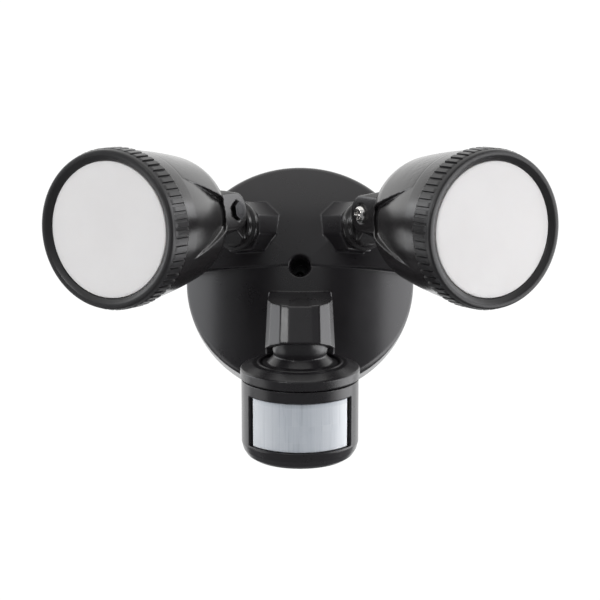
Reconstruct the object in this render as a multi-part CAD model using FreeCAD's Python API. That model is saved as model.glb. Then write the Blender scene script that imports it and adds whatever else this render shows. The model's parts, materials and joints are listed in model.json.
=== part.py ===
import FreeCAD, Part
import os
import math
from FreeCAD import Vector as V, Placement, Rotation, Matrix

os.makedirs("parts", exist_ok=True)

# Frame: millimetres. +X right, +Y back to the wall, -Y out of the wall, +Z up.
# The wall plane is y = 0; the origin is the middle of the two box screws.

# ---- driving dimensions ------------------------------------------------
ZC = -4.5             # centre height of the round cover
R_COVER = 66.5        # cover radius
GASKET_T = 2.5        # foam gasket thickness
D_FACE = 38.0         # depth of the cover's face at the seam
WALL = 2.4            # cover wall
R_TOP = 118.0         # upper face: curved back towards the top
R_TOP_SIDE = 150.0    # upper face: curved back towards the sides
R_LOW = 92.0          # lower face: curved back towards the sides
HOLE_R = 5.0          # centre screw hole
HOLE_CB_R = 6.6       # its recess

ARM_YAW = 31.0        # arms and heads point outwards by this
ARM_PITCH = -8.0      # arm axis below level
RING_C = (38.0, -51.3, 21.1)      # centre of the arm collar's front face
HEAD_K = (45.9, -64.5, 25.7)      # knuckle pin centre
HEAD_PITCH = -14.4
ARM_ROLL_R = -8.0     # the right arm is turned a little in its joint
HEAD_L = 109.0        # knuckle pin to lens plane

R_BEZEL = 42.6
R_LENS_SEEN = 36.3
R_SC0 = 40.335         # where the side scoops run out into the skin
N_GRIP = 64

SENSOR_B = (0.0, -82.0, -51.6)    # centre of the sensor's ball
SENSOR_TILT = 22.0
R_BALL = 15.4
R_CAP = 33.0
R_BODY = 32.4

SLOT_SPACING = 88.9   # box screw spacing
SLOT_W = 4.8
SLOT_L = 13.0


# ---- helpers -----------------------------------------------------------
def save(name, shape):
    if shape.Volume < 0:
        shape = shape.copy()
        shape.reverse()
    shape.exportStep("parts/" + name + ".step")
    print(name, "solids", len(shape.Solids), "vol %.1f" % shape.Volume, "valid", shape.isValid())


def cyl(r, p, d, h):
    return Part.makeCylinder(r, h, V(*p), V(*d))


def box(x0, x1, y0, y1, z0, z1):
    return Part.makeBox(x1 - x0, y1 - y0, z1 - z0, V(x0, y0, z0))


def face_xy(pts):
    w = Part.makePolygon([V(x, y, 0) for x, y in pts] + [V(pts[0][0], pts[0][1], 0)])
    return Part.Face(w)


def rev(pts):
    """Solid of revolution about the local Y axis from (radius, y) points."""
    return face_xy(pts).revolve(V(0, 0, 0), V(0, 1, 0), 360)


def rev_arcs(arcs, close):
    """Revolve about Y: three-point arcs end to end, closed by straight lines."""
    e = []
    for a, b, c in arcs:
        e.append(Part.Arc(V(a[0], a[1], 0), V(b[0], b[1], 0), V(c[0], c[1], 0)).toShape())
    chain = [arcs[-1][2]] + list(close) + [arcs[0][0]]
    for a, b in zip(chain[:-1], chain[1:]):
        if math.hypot(a[0] - b[0], a[1] - b[1]) > 1e-6:
            e.append(Part.makeLine(V(a[0], a[1], 0), V(b[0], b[1], 0)))
    return Part.Face(Part.Wire(e)).revolve(V(0, 0, 0), V(0, 1, 0), 360)


def one(shape):
    return shape.removeSplitter() if hasattr(shape, "removeSplitter") else shape


def try_fillet(shape, r, pick, note):
    for rr in (r, r * 0.8, r * 0.6, r * 0.4):
        es = [e for e in shape.Edges if pick(e)]
        if not es:
            print("no edges for", note)
            return shape
        try:
            s = shape.makeFillet(rr, es)
            if s.isValid() and len(s.Solids) >= 1 and s.Volume > 0:
                return s
        except Exception as ex:
            pass
    print("fillet left out:", note)
    return shape


def frame_place(origin, yaw, pitch, roll=0.0):
    """Local -Y points out along (yaw, pitch); local Z is up; local X is sideways."""
    r = Rotation(V(0, 0, 1), yaw).multiply(Rotation(V(1, 0, 0), -pitch)).multiply(Rotation(V(0, 1, 0), roll))
    return Placement(V(*origin), r)


def placed(shape, pl):
    s = shape.copy()
    s.transformShape(pl.toMatrix(), True)
    return s


def mirror_pt(p):
    return (-p[0], p[1], p[2])


# ---- cover -------------------------------------------------------------
def cover_solid(r, off, y_back, z_split):
    """Rounded cover block: face set back by off, outline radius r, faces meeting at z_split."""
    disc = cyl(r, (0, y_back, ZC), (0, -1, 0), 60)
    upper = disc.common(box(-80, 80, -60, y_back, z_split, 80))
    upper = upper.common(cyl(R_TOP - off, (-100, -(D_FACE) + R_TOP, 0.0), (1, 0, 0), 200))
    upper = upper.common(cyl(R_TOP_SIDE - off, (0, -(D_FACE) + R_TOP_SIDE, -90), (0, 0, 1), 200))
    lower = disc.common(box(-80, 80, -60, y_back, -80, z_split))
    lower = lower.common(cyl(R_LOW - off, (0, -(D_FACE) + R_LOW, -90), (0, 0, 1), 200))
    return upper, lower


def rim_edge(zlo, zhi, rad):
    def f(e):
        bb = e.BoundBox
        if bb.YMax > -6.0:
            return False
        n = 5
        for i in range(n):
            p = e.valueAt(e.FirstParameter + (e.LastParameter - e.FirstParameter) * (i + 0.5) / n)
            if abs(math.hypot(p.x, p.z - ZC) - rad) > 0.05:
                return False
        return bb.ZMin >= zlo - 0.01 and bb.ZMax <= zhi + 0.01 and (bb.YMax - bb.YMin > 0.01 or bb.XMax - bb.XMin > 5) and (bb.XMax - bb.XMin > 0.5)
    return f


up, lo = cover_solid(R_COVER, 0.0, -GASKET_T, 0.0)
up = try_fillet(up, 5.0, rim_edge(0, 90, R_COVER), "upper rim")
lo = try_fillet(lo, 3.6, rim_edge(-90, 0, R_COVER), "lower rim")
outer = up.fuse(lo)
upi, loi = cover_solid(R_COVER - WALL, WALL, -GASKET_T + 1.0, WALL)
# keep the two inner blocks a wall apart at the step between the faces
inner = upi.fuse(loi)

RP = {}
arm_pl = {"right": frame_place(RING_C, ARM_YAW, ARM_PITCH), "left": frame_place(mirror_pt(RING_C), -ARM_YAW, ARM_PITCH)}
arm_roll = {"right": ARM_ROLL_R, "left": 0.0}
COLLAR_T = 6.0


def prism_pts(pts, y0, k0, y1, k1):
    """Tapered prism about local Y with the section pts, scaled k0 at y0 and k1 at y1."""
    ws = []
    for k, y in ((k0, y0), (k1, y1)):
        ps = [V(k * x, y, k * z) for x, z in pts]
        ws.append(Part.makePolygon(ps + [ps[0]]))
    return Part.makeLoft(ws, True, True)


# arm boss in the arm frame: front face at y = COLLAR_T + 0.3
yb = COLLAR_T + 0.3
BOSS_OCT = [(5.6, 13.6), (13.3, 5.4), (13.3, -5.8), (7.6, -15.0), (-7.6, -15.0), (-13.3, -5.8), (-13.3, 5.4), (-5.6, 13.6)]
boss_local = prism_pts(BOSS_OCT, yb, 0.98, yb + 34.0, 1.03)
boss_hollow = cyl(11.2, (0, yb + 5.0, 0), (0, 1, 0), 60)
stem_bore = cyl(7.06, (0, yb - 2, 0), (0, 1, 0), 60)
back_space = box(-90, 90, -200, -GASKET_T, -90, 90)
for side in ("right", "left"):
    b = placed(boss_local, arm_pl[side])
    b = b.common(back_space).common(cyl(R_COVER - 1.2, (0, 0, ZC), (0, -1, 0), 120))
    b = b.common(box(-90, 90, -120, -14.0, -90, 90))
    RP[side] = b
    outer = outer.fuse(b)

# sensor boss: faceted snout on the lower half
sx, sy, sz = SENSOR_B
Z_SB = sz - 2.3       # bottom plane round the front
Z_SR = sz + 0.9       # and behind the ball, where the cap needs room
def snout(grow, z0, z1, taper):
    ws = []
    for z, k in ((z0, 1.0), (z1, taper)):
        rr = (19.3 - grow) * k
        half = [(6.16, -18.29), (11.2, -16.36), (17.04, -9.06), (19.3, 0.0)]
        sec = [(-x, y) for x, y in reversed(half)] + half
        ps = [V(rr / 19.3 * x, sy + rr / 19.3 * y, z) for x, y in sec]
        ps.append(V(rr, -20.0, z))
        ps.append(V(-rr, -20.0, z))
        ws.append(Part.makePolygon(ps + [ps[0]]))
    return Part.makeLoft(ws, True, True)


boss_s = snout(0.0, Z_SB, -14.0, 0.90)
# sloped roof in two planes, steeper over the front
ROOF_LINE = [(-20.0, -10.9), (-38.0, -15.4), (-82.0, -26.5), (-130.0, -44.2)]


def roof_pts(dz):
    return [V(-60, y, z - dz) for y, z in ROOF_LINE]


rp = roof_pts(0.0)
roof_cut = Part.Face(Part.makePolygon([V(-60, -20, 40)] + rp + [V(-60, -130, 40), V(-60, -20, 40)])).extrude(V(120, 0, 0))
boss_s = boss_s.cut(roof_cut)
# shallow facet in the middle of the roof, narrower towards the face
fac = [V(-6.4, -101.6, -34.2), V(6.4, -101.6, -34.2), V(4.6, -76.0, -25.05), V(-4.6, -76.0, -25.05)]
boss_s = boss_s.cut(Part.Face(Part.makePolygon(fac + [fac[0]])).extrude(V(0, 0, 12)))
# the bottom rises behind the ball
ramp = Part.Face(Part.makePolygon([V(-60, sy + 1.0, Z_SB - 1.0), V(-60, sy + 1.0, Z_SB), V(-60, sy + 5.0, Z_SR), V(-60, -10, Z_SR), V(-60, -10, Z_SB - 1.0), V(-60, sy + 1.0, Z_SB - 1.0)])).extrude(V(120, 0, 0))
boss_s = boss_s.cut(ramp)
outer = outer.fuse(boss_s)
outer = one(outer)

cover = outer.cut(inner)
# arm boss hollows and stem bores
for side in ("right", "left"):
    cover = cover.cut(placed(boss_hollow, arm_pl[side]).common(box(-90, 90, -120, -8, -90, 90)).common(cyl(R_COVER - WALL - 0.5, (0, 0, ZC), (0, -1, 0), 120)))
    cover = cover.cut(placed(stem_bore, arm_pl[side]).common(box(-90, 90, -120, -8, -90, 90)).common(cyl(R_COVER - WALL - 0.5, (0, 0, ZC), (0, -1, 0), 120)))
# sensor boss hollow above the socket, the socket and the swivel bore
ROOF_T = 1.85
rl = roof_pts(ROOF_T)
roof_low = Part.Face(Part.makePolygon([V(-60, -20, -60)] + rl + [V(-60, -130, -60), V(-60, -20, -60)])).extrude(V(120, 0, 0))
SOCK_TOP = sz + R_BALL + 0.5
WALL_TOP = SOCK_TOP + 1.8
hollow_s = snout(2.4, WALL_TOP, -14.0, 0.91).common(roof_low)
hollow_s = hollow_s.common(box(-60, 60, sy - 12.0, -30, -60, 0))
cover = cover.cut(hollow_s)
chan = box(-12, 12, sy + 19.0, -30.0, Z_SR + 3.0, WALL_TOP + 0.5).common(roof_low)
cover = cover.cut(chan)
sock = cyl(R_BALL + 0.6, (0, sy, Z_SB - 3), (0, 0, 1), SOCK_TOP - Z_SB + 3)
cover = cover.cut(sock)
cover = cover.cut(cyl(5.06, (0, sy, SOCK_TOP - 1), (0, 0, 1), WALL_TOP - SOCK_TOP + 1.2))
# centre screw hole with its recess and a tube behind it
tube = cyl(7.6, (0, -D_FACE + 1.6, 0), (0, 1, 0), D_FACE - 1.6 - 9.0)
cover = cover.fuse(tube)
cover = cover.cut(cyl(HOLE_R, (0, -60, 0), (0, 1, 0), 60))
cone = Part.makeCone(HOLE_CB_R, HOLE_R, 4.2, V(0, -D_FACE - 0.01, 0), V(0, 1, 0))
cover = cover.cut(cone)
# seam groove across the face
gro_u = box(-70, 70, -60, -D_FACE + 0.9, -0.45, 0.45)
cover = cover.cut(gro_u)
cover = one(cover)
if len(cover.Solids) > 1:
    sol = sorted(cover.Solids, key=lambda s: -s.Volume)
    print("cover pieces", [round(s.Volume, 1) for s in sol])
    cover = sol[0]

# ---- gasket ------------------------------------------------------------
gasket = cyl(R_COVER - 0.7, (0, -GASKET_T + 0.1, ZC), (0, 1, 0), GASKET_T - 0.1).cut(cyl(R_COVER - 7.5, (0, -10, ZC), (0, 1, 0), 20))
save("back_gasket", gasket)

# ---- mounting strap ----------------------------------------------------
st = box(-54, 54, -2.0, 0.0, -9.5, 9.5)
st = try_fillet(st, 6.0, lambda e: abs(e.BoundBox.XMax - e.BoundBox.XMin) < 0.01 and abs(e.BoundBox.ZMax - e.BoundBox.ZMin) < 0.01 and e.BoundBox.YMax - e.BoundBox.YMin > 1.5, "strap corners")
for sgn in (-1, 1):
    cx = sgn * SLOT_SPACING / 2.0
    h = SLOT_L / 2.0 - SLOT_W / 2.0
    sl = box(cx - h, cx + h, -5, 5, -SLOT_W / 2, SLOT_W / 2)
    sl = sl.fuse(cyl(SLOT_W / 2, (cx - h, -5, 0), (0, 1, 0), 10)).fuse(cyl(SLOT_W / 2, (cx + h, -5, 0), (0, 1, 0), 10))
    st = st.cut(sl)
st = st.fuse(cyl(6.0, (0, -7.0, 0), (0, 1, 0), 5.5))
st = st.cut(cyl(1.75, (0, -12, 0), (0, 1, 0), 20))
for sgn in (-1, 1):
    st = st.cut(cyl(2.2, (sgn * 22, -5, 0), (0, 1, 0), 10))
st = st.cut(cyl(2.05, (-13, -5, 0), (0, 1, 0), 10))
save("mounting_strap", one(st))

gs = cyl(4.0, (-13, -4.4, 0), (0, 1, 0), 2.3).fuse(cyl(2.0, (-13, -2.2, 0), (0, 1, 0), 2.2))
gs = gs.cut(box(-18, -8, -4.5, -3.5, -0.5, 0.5))
save("ground_screw", gs)

# ---- LED driver board and its parts, in the lower half of the cover -----
brd = box(-28, 28, -13.2, -11.6, -54, -15)
brd = brd.cut(cyl(1.6, (-24, -20, -50), (0, 1, 0), 30)).cut(cyl(1.6, (24, -20, -50), (0, 1, 0), 30)).cut(cyl(1.6, (-24, -20, -19), (0, 1, 0), 30)).cut(cyl(1.6, (24, -20, -19), (0, 1, 0), 30))
save("driver_board", brd)
dp = box(-20, -4, -25.5, -13.3, -46, -30)
cap1 = cyl(5.0, (6, -13.3, -24), (0, -1, 0), 14)
cap2 = cyl(4.0, (18, -13.3, -24), (0, -1, 0), 11)
rel = box(1, 19, -22.5, -13.3, -48.5, -33.5)
ic = box(-19, -9, -16.2, -13.3, -24, -18)
save("driver_parts", Part.makeCompound([dp, cap1, cap2, rel, ic]))
# four pillars that carry the board
pil = []
for px, pz in ((-24, -50), (24, -50), (-24, -19), (24, -19)):
    pil.append((px, pz))
scr = []
for px, pz in pil:
    scr.append(cyl(2.8, (px, -11.5, pz), (0, 1, 0), 1.8).cut(box(px - 3, px + 3, -10.5, -9.5, pz - 0.4, pz + 0.4)).fuse(cyl(1.5, (px, -18.0, pz), (0, 1, 0), 6.6)))
save("board_screws", Part.makeCompound(scr))
# pillars are part of the cover
cov2 = cover
for px, pz in pil:
    p = cyl(3.2, (px, -13.3, pz), (0, -1, 0), 40).common(outer)
    cov2 = cov2.fuse(p)
for px, pz in pil:
    cov2 = cov2.cut(cyl(1.55, (px, -10, pz), (0, -1, 0), 9))
cov2 = one(cov2)
if len(cov2.Solids) > 1:
    cov2 = sorted(cov2.Solids, key=lambda s: -s.Volume)[0]

# ---- arms --------------------------------------------------------------
# arm frame: origin = centre of the collar's front face, -Y out along the arm
def to_local(pl, p):
    return pl.inverse().multVec(V(*p))


kl = to_local(arm_pl["right"], HEAD_K)
print("knuckle in arm frame", kl)
turned_pl = {}
for side in ("right", "left"):
    turned_pl[side] = arm_pl[side].multiply(Placement(V(0, 0, 0), Rotation(V(0, 1, 0), arm_roll[side])))
KX, KY, KZ = kl.x, kl.y, kl.z
TONGUE_W = 9.0
R_TONGUE = 10.2


def arm_solid():
    collar = rev([(0, 0.0), (12.6, 0.0), (14.4, 1.6), (14.4, 4.6), (13.2, COLLAR_T), (0, COLLAR_T)])
    second = rev([(0, -3.0), (11.4, -3.0), (12.4, -2.0), (12.4, 0.5), (0, 0.5)])
    stem = cyl(7.0, (0, COLLAR_T - 0.5, 0), (0, 1, 0), 20.0)
    tongue = cyl(R_TONGUE, (KX - TONGUE_W, KY, KZ), (1, 0, 0), 2 * TONGUE_W)
    # neck: block from the collar up to the tongue, 2 * 9 wide, rounded
    c0 = [V(-TONGUE_W, -2.0, -11.0), V(-TONGUE_W, -2.0, 11.0), V(-TONGUE_W, KY + 2, KZ + 9.6), V(-TONGUE_W, KY + 2, KZ - 9.6), V(-TONGUE_W, -2.0, -11.0)]
    neck = Part.Face(Part.makePolygon([V(KX, 0, 0) + p for p in c0])).extrude(V(2 * TONGUE_W, 0, 0))
    keep = rev([(0, -3.2), (12.0, -3.2), (12.0, 1.0), (0, 1.0)])
    # round the neck's flanks
    t = tongue.fuse(neck)
    ball = Part.makeSphere(12.9, V(KX, KY, KZ))
    pipe = cyl(12.2, (0, 2, 0), (0, -1, 0), 30)
    t = t.common(ball.fuse(pipe.common(box(-40, 40, KY + 4.0, 3, -40, 40))))
    s = collar.fuse(second).fuse(stem).fuse(t)
    s = s.cut(cyl(4.2, (0, -4.0, 0), (0, 1, 0), 40))
    s = s.cut(cyl(3.06, (KX - 20, KY, KZ), (1, 0, 0), 40))
    return one(s)


arm = arm_solid()
if len(arm.Solids) > 1:
    arm = sorted(arm.Solids, key=lambda s: -s.Volume)[0]
# hexagonal locknut inside the cover and an O-ring under the collar
def hex_prism(af, y0, y1):
    r = af / 2.0 / math.cos(math.radians(30))
    ps = [V(r * math.sin(math.radians(60 * i)), y0, r * math.cos(math.radians(60 * i))) for i in range(6)]
    return Part.Face(Part.makePolygon(ps + [ps[0]])).extrude(V(0, y1 - y0, 0))


nut = hex_prism(18.0, yb + 5.4, yb + 9.9).cut(cyl(7.05, (0, 0, 0), (0, 1, 0), 60))
oring = cyl(9.4, (0, COLLAR_T + 0.02, 0), (0, 1, 0), 1.5).cut(cyl(7.2, (0, 0, 0), (0, 1, 0), 60))
oring_groove = cyl(9.7, (0, yb - 0.5, 0), (0, 1, 0), 1.75)
cov3 = cov2
for side in ("right", "left"):
    cov3 = cov3.cut(placed(oring_groove, arm_pl[side]))
    save("arm_" + side, placed(arm, turned_pl[side]))
    save("arm_locknut_" + side, placed(nut, arm_pl[side]))
    save("arm_seal_" + side, placed(oring, arm_pl[side]))
cov3 = one(cov3)
save("cover", cov3)

# swivel bearing pin radius used by the fork
PIN_R = 3.0

# ---- heads -------------------------------------------------------------
# head frame: origin = knuckle pin centre, front along -Y, t = distance behind lens plane
def Y(t):
    return -HEAD_L + t


def head_parts():
    P = {}
    # outer skin, then the recessed body that shows in the side scoops
    skin = rev_arcs([((41.2, Y(13.4)), (39.0, Y(36)), (35.2, Y(59))), ((35.2, Y(59)), (31.2, Y(68.6)), (24.0, Y(77.0))), ((24.0, Y(77.0)), (18.6, Y(83.0)), (15.6, Y(90)))],
                    [(0.0, Y(90)), (0.0, Y(13.4))])
    core = rev_arcs([((R_SC0, Y(24.0)), (36.3, Y(44)), (31.4, Y(60))), ((31.4, Y(60)), (28.0, Y(68)), (22.4, Y(75.6)))],
                    [(0.0, Y(75.6)), (0.0, Y(24.0))])
    # scoops: wedge-shaped recesses through both flanks, deepest at the back and
    # running out where the inner profile meets the skin
    wd = [V(-60, Y(24.5), 22.0), V(-60, Y(74.0), 5.6), V(-60, Y(74.0), -5.6), V(-60, Y(24.5), -22.0)]
    sc = Part.Face(Part.makePolygon(wd + [wd[0]])).extrude(V(120, 0, 0))
    for q in (skin, core, sc):
        if q.Volume < 0:
            q.reverse()
    sh = skin.cut(sc).fuse(core)
    print("head body", sh.Volume, "skin", skin.Volume, "core", core.Volume)
    # fork ears
    fork = cyl(15.6, (0, Y(84), 0), (0, 1, 0), HEAD_L - 84 + 0.0).common(box(-12.8, 12.8, Y(84), 20, -40, 40))
    earlim = box(-20, 20, Y(84), -6.0, -16, 16).fuse(cyl(10.4, (-20, 0, 0), (1, 0, 0), 40))
    taper = Part.Face(Part.makePolygon([V(-20, Y(84), -15.6), V(-20, Y(84), 15.6), V(-20, -9.0, 12.4), V(-20, 0, 10.4), V(-20, 6, 8.5), V(-20, 6, -8.5), V(-20, 0, -10.4), V(-20, -9.0, -12.4), V(-20, Y(84), -15.6)])).extrude(V(40, 0, 0))
    fork2 = box(-12.8, 12.8, Y(84), 0, -15.6, 15.6).fuse(cyl(10.4, (-12.8, 0, 0), (1, 0, 0), 25.6))
    fork2 = fork2.common(taper.fuse(cyl(10.4, (-20, 0, 0), (1, 0, 0), 40)))
    fork2 = fork2.common(cyl(16.2, (0, Y(83), 0), (0, 1, 0), 80))
    slot = box(-TONGUE_W - 0.35, TONGUE_W + 0.35, -12.0, 30, -40, 40).fuse(cyl(12.0, (-TONGUE_W - 0.35, 0, 0), (1, 0, 0), 2 * TONGUE_W + 0.7))
    fork2 = fork2.cut(slot)
    sh = sh.fuse(fork2)
    # keep the knuckle swing clear of the rear dome
    sh = sh.cut(cyl(13.0, (-TONGUE_W - 0.35, 0, 0), (1, 0, 0), 2 * TONGUE_W + 0.7))
    # cavity
    cav = rev([(0, Y(10)), (37.6, Y(10)), (37.6, Y(18)), (36.6, Y(24)), (33.8, Y(36)), (30.6, Y(48)), (27.4, Y(57)), (24.0, Y(64)), (18.4, Y(71)), (11.5, Y(79)), (0, Y(79))])
    sh = sh.cut(cav)
    # spigot for the bezel: shoulder at the front
    spig = rev([(37.6, Y(8.6)), (39.2, Y(8.6)), (39.2, Y(13.5)), (37.6, Y(13.5))])
    sh = sh.fuse(spig)
    # screw passage through the ears
    sh = sh.cut(cyl(PIN_R + 0.02, (-20, 0, 0), (1, 0, 0), 40))
    sh = sh.cut(cyl(5.4, (-13, 0, 0), (1, 0, 0), 1.2))
    # nut pocket on the other ear
    hx = 5.6
    ps = [V(11.4, hx * math.sin(math.radians(60 * i)), hx * math.cos(math.radians(60 * i))) for i in range(6)]
    sh = sh.cut(Part.Face(Part.makePolygon(ps + [ps[0]])).extrude(V(6, 0, 0)))
    # wire way from the cavity to the fork floor
    sh = sh.cut(cyl(3.2, (0, Y(56), 0), (0, 1, 0), 60))
    sh = one(sh)
    if len(sh.Solids) > 1:
        so = sorted(sh.Solids, key=lambda s: -s.Volume)
        print("head shell pieces", [round(s.Volume, 1) for s in so])
        sh = so[0]
    P["head_shell"] = sh

    # bezel with grip notches
    bz = rev([(R_LENS_SEEN, Y(1.0)), (R_LENS_SEEN + 0.1, Y(0.2)), (38.9, Y(-1.5)), (41.3, Y(-1.65)), (41.75, Y(-1.2)), (42.0, Y(0.0)), (42.5, Y(1.6)), (R_BEZEL, Y(2.6)), (R_BEZEL, Y(12.2)), (R_BEZEL - 0.5, Y(13.0)),
              (39.5, Y(13.0)), (39.5, Y(3.2)), (R_LENS_SEEN, Y(3.2))])
    cuts = []
    for i in range(N_GRIP):
        n = box(-0.6, 0.6, Y(2.2), Y(12.0), 41.4, 46.0)
        n.rotate(V(0, 0, 0), V(0, 1, 0), 360.0 * i / N_GRIP)
        cuts.append(n)
    bz = bz.cut(Part.makeCompound(cuts))
    P["head_bezel"] = bz

    # lens: frosted disc with a shallow skirt, level with the foot of the lip
    P["head_lens"] = rev([(0, Y(0.1)), (35.95, Y(0.4)), (35.95, Y(3.5)), (38.9, Y(3.5)), (38.9, Y(5.6)), (34.0, Y(5.2)), (30.0, Y(2.6)), (0, Y(2.4))])
    P["lens_seal"] = rev([(37.7, Y(5.75)), (39.1, Y(5.75)), (39.1, Y(8.3)), (37.7, Y(8.3))])
    # reflector cup behind the lens
    P["head_reflector"] = rev([(12.0, Y(27.6)), (36.0, Y(9.6)), (37.3, Y(9.6)), (37.3, Y(10.8)), (36.4, Y(10.8)), (13.0, Y(28.8)), (12.0, Y(28.8))])
    # LED board on the heat sink
    led = cyl(15.0, (0, Y(30.6), 0), (0, -1, 0), 1.6)
    P["led_board"] = led
    chips = [Part.makeCompound([Part.makeBox(3.4, 0.9, 3.4, V(7.0 * math.cos(math.radians(60 * i)) - 1.7, Y(28.05), 7.0 * math.sin(math.radians(60 * i)) - 1.7)) for i in range(6)] + [Part.makeBox(3.4, 0.9, 3.4, V(-1.7, Y(28.05), -1.7))])]
    P["led_chips"] = chips[0]
    # heat sink: plate with fins
    hs = cyl(26.0, (0, Y(33.7), 0), (0, -1, 0), 3.0)
    for i in range(-4, 5):
        w = 24.0 if abs(i) < 3 else 17.0
        f = box(i * 5.2 - 0.9, i * 5.2 + 0.9, Y(33.6), Y(48.0), -w, w)
        f = f.common(cyl(25.0, (0, Y(33), 0), (0, 1, 0), 16))
        hs = hs.fuse(f)
    P["heat_sink"] = one(hs)
    # pivot screw with its dome head on the -X side and the nut on the +X side
    head = Part.makeSphere(4.6, V(-12.0, 0, 0)).common(box(-20, -11.95, -10, 10, -10, 10))
    head = head.common(box(-15.2, 0, -10, 10, -10, 10))
    shaft = cyl(PIN_R, (-12.0, 0, 0), (1, 0, 0), 26.6)
    ks = head.fuse(shaft)
    ks = ks.cut(box(-20, -14.0, -0.55, 0.55, -3.0, 3.0)).cut(box(-20, -14.0, -3.0, 3.0, -0.55, 0.55))
    P["knuckle_screw"] = ks
    hx = 5.3
    ps = [V(11.6, hx * math.sin(math.radians(60 * i)), hx * math.cos(math.radians(60 * i))) for i in range(6)]
    P["knuckle_nut"] = Part.Face(Part.makePolygon(ps + [ps[0]])).extrude(V(3.0, 0, 0)).cut(cyl(PIN_R + 0.02, (5, 0, 0), (1, 0, 0), 20))
    return P


HP = head_parts()
head_pl = {}
for side in ("right", "left"):
    head_pl[side] = turned_pl[side].multiply(Placement(V(KX if side == "right" else -KX, KY, KZ), Rotation(V(1, 0, 0), ARM_PITCH - HEAD_PITCH)))
    q = head_pl[side]
    print("HEAD", side, "knuckle", q.Base, "axis", q.Rotation.multVec(V(1, 0, 0)), "lens", q.multVec(V(0, -HEAD_L, 0)), "arm axis", turned_pl[side].Rotation.multVec(V(0, -1, 0)))
for side in ("right", "left"):
    for n, s in HP.items():
        save(n + "_" + side, placed(s, head_pl[side]))

# ---- sensor ------------------------------------------------------------
# sensor frame: origin = ball centre, Z along the housing, -Y out of the window
sen_pl = Placement(V(*SENSOR_B), Rotation(V(1, 0, 0), SENSOR_TILT))


def revz(pts):
    f = Part.Face(Part.makePolygon([V(x, 0, z) for x, z in pts] + [V(pts[0][0], 0, pts[0][1])]))
    return f.revolve(V(0, 0, 0), V(0, 0, 1), 360)


ZT = -12.5            # cap edge
cap = revz([(0, ZT - 6.0), (R_CAP - 0.9, ZT - 6.0), (R_CAP, ZT - 5.2), (R_CAP, ZT - 0.6), (R_CAP - 0.6, ZT), (26.2, ZT + 2.4), (23.6, ZT + 2.6), (23.0, ZT + 3.2), (22.2, ZT + 3.2), (21.0, ZT + 2.2), (18.2, ZT + 3.0), (14.6, ZT + 6.6), (0, ZT + 6.6)])
cap = cap.fuse(Part.makeSphere(R_BALL))
# ball is hollow, open at the top for the swivel tongue
cap = cap.cut(Part.makeSphere(13.2).common(box(-20, 20, -20, 20, -9.0, 20)))
lugs = cyl(4.6, (-13.6, 0, 0), (1, 0, 0), 5.8).fuse(cyl(4.6, (7.8, 0, 0), (1, 0, 0), 5.8)).common(Part.makeSphere(14.0))
cap = cap.fuse(lugs)
# opening: a wedge swept from 34 deg in front of the axis to 46 deg behind it
wp = [V(0, 0, 0)]
for a in range(-34, 46, 10):
    wp.append(V(0, 26 * math.sin(math.radians(a)), 26 * math.cos(math.radians(a))))
wp.append(V(0, 26 * math.sin(math.radians(46)), 26 * math.cos(math.radians(46))))
wp.append(V(0, 0, 0))
wedge = Part.Face(Part.makePolygon(wp)).extrude(V(15.4, 0, 0))
wedge.translate(V(-7.7, 0, 0))
cap = cap.cut(wedge)
cap = cap.cut(cyl(2.0, (-14.4, 0, 0), (1, 0, 0), 28.8))
# underside pocket and wire hole
cap = cap.cut(revz([(0, ZT - 7), (R_CAP - 3.4, ZT - 7), (R_CAP - 3.4, ZT - 2.2), (0, ZT - 2.2)]))
cap = cap.cut(cyl(2.6, (0, 0, ZT - 8), (0, 0, 1), 8))
for a in (35, 145, 215, 325):
    cx, cy = 25.0 * math.cos(math.radians(a)), 25.0 * math.sin(math.radians(a))
    cap = cap.fuse(cyl(3.0, (cx, cy, ZT - 5.8), (0, 0, 1), 4.2))
    cap = cap.cut(cyl(1.3, (cx, cy, ZT - 7), (0, 0, 1), 4.6))
cap = one(cap)
print("cap solids", len(cap.Solids))
save("sensor_cap", placed(sorted(cap.Solids, key=lambda s: -s.Volume)[0], sen_pl))

# housing: cup with the window cut in its front
Z0 = ZT - 6.3         # top of the housing
Z1 = ZT - 51.7        # bottom
body_out = revz([(0, Z0), (R_BODY, Z0), (R_BODY, Z1 + 9.8), (R_BODY - 1.0, Z1 + 6.0), (R_BODY - 3.0, Z1 + 2.8), (R_BODY - 6.0, Z1 + 0.8), (R_BODY - 10.0, Z1), (0, Z1)])
body = body_out.cut(revz([(0, Z0 + 1), (R_BODY - 2.4, Z0 + 1), (R_BODY - 2.4, Z1 + 10.0), (R_BODY - 3.6, Z1 + 6.6), (R_BODY - 5.8, Z1 + 4.2), (R_BODY - 9.0, Z1 + 3.2), (0, Z1 + 3.2)]))
WZ1 = ZT - 12.8       # window top
WZ0 = ZT - 40.6       # window bottom
W_ANG = 60.0


def sector(r0, r1, z0, z1, ang):
    s = cyl(r1, (0, 0, z0), (0, 0, 1), z1 - z0).cut(cyl(r0, (0, 0, z0 - 1), (0, 0, 1), z1 - z0 + 2))
    ps = [V(0, 0, z0 - 1)]
    for i in range(13):
        a = math.radians(-ang + 2 * ang * i / 12.0)
        ps.append(V(60 * math.sin(a), -60 * math.cos(a), z0 - 1))
    ps.append(V(0, 0, z0 - 1))
    w = Part.Face(Part.makePolygon(ps)).extrude(V(0, 0, z1 - z0 + 2))
    return s.common(w)


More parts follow.
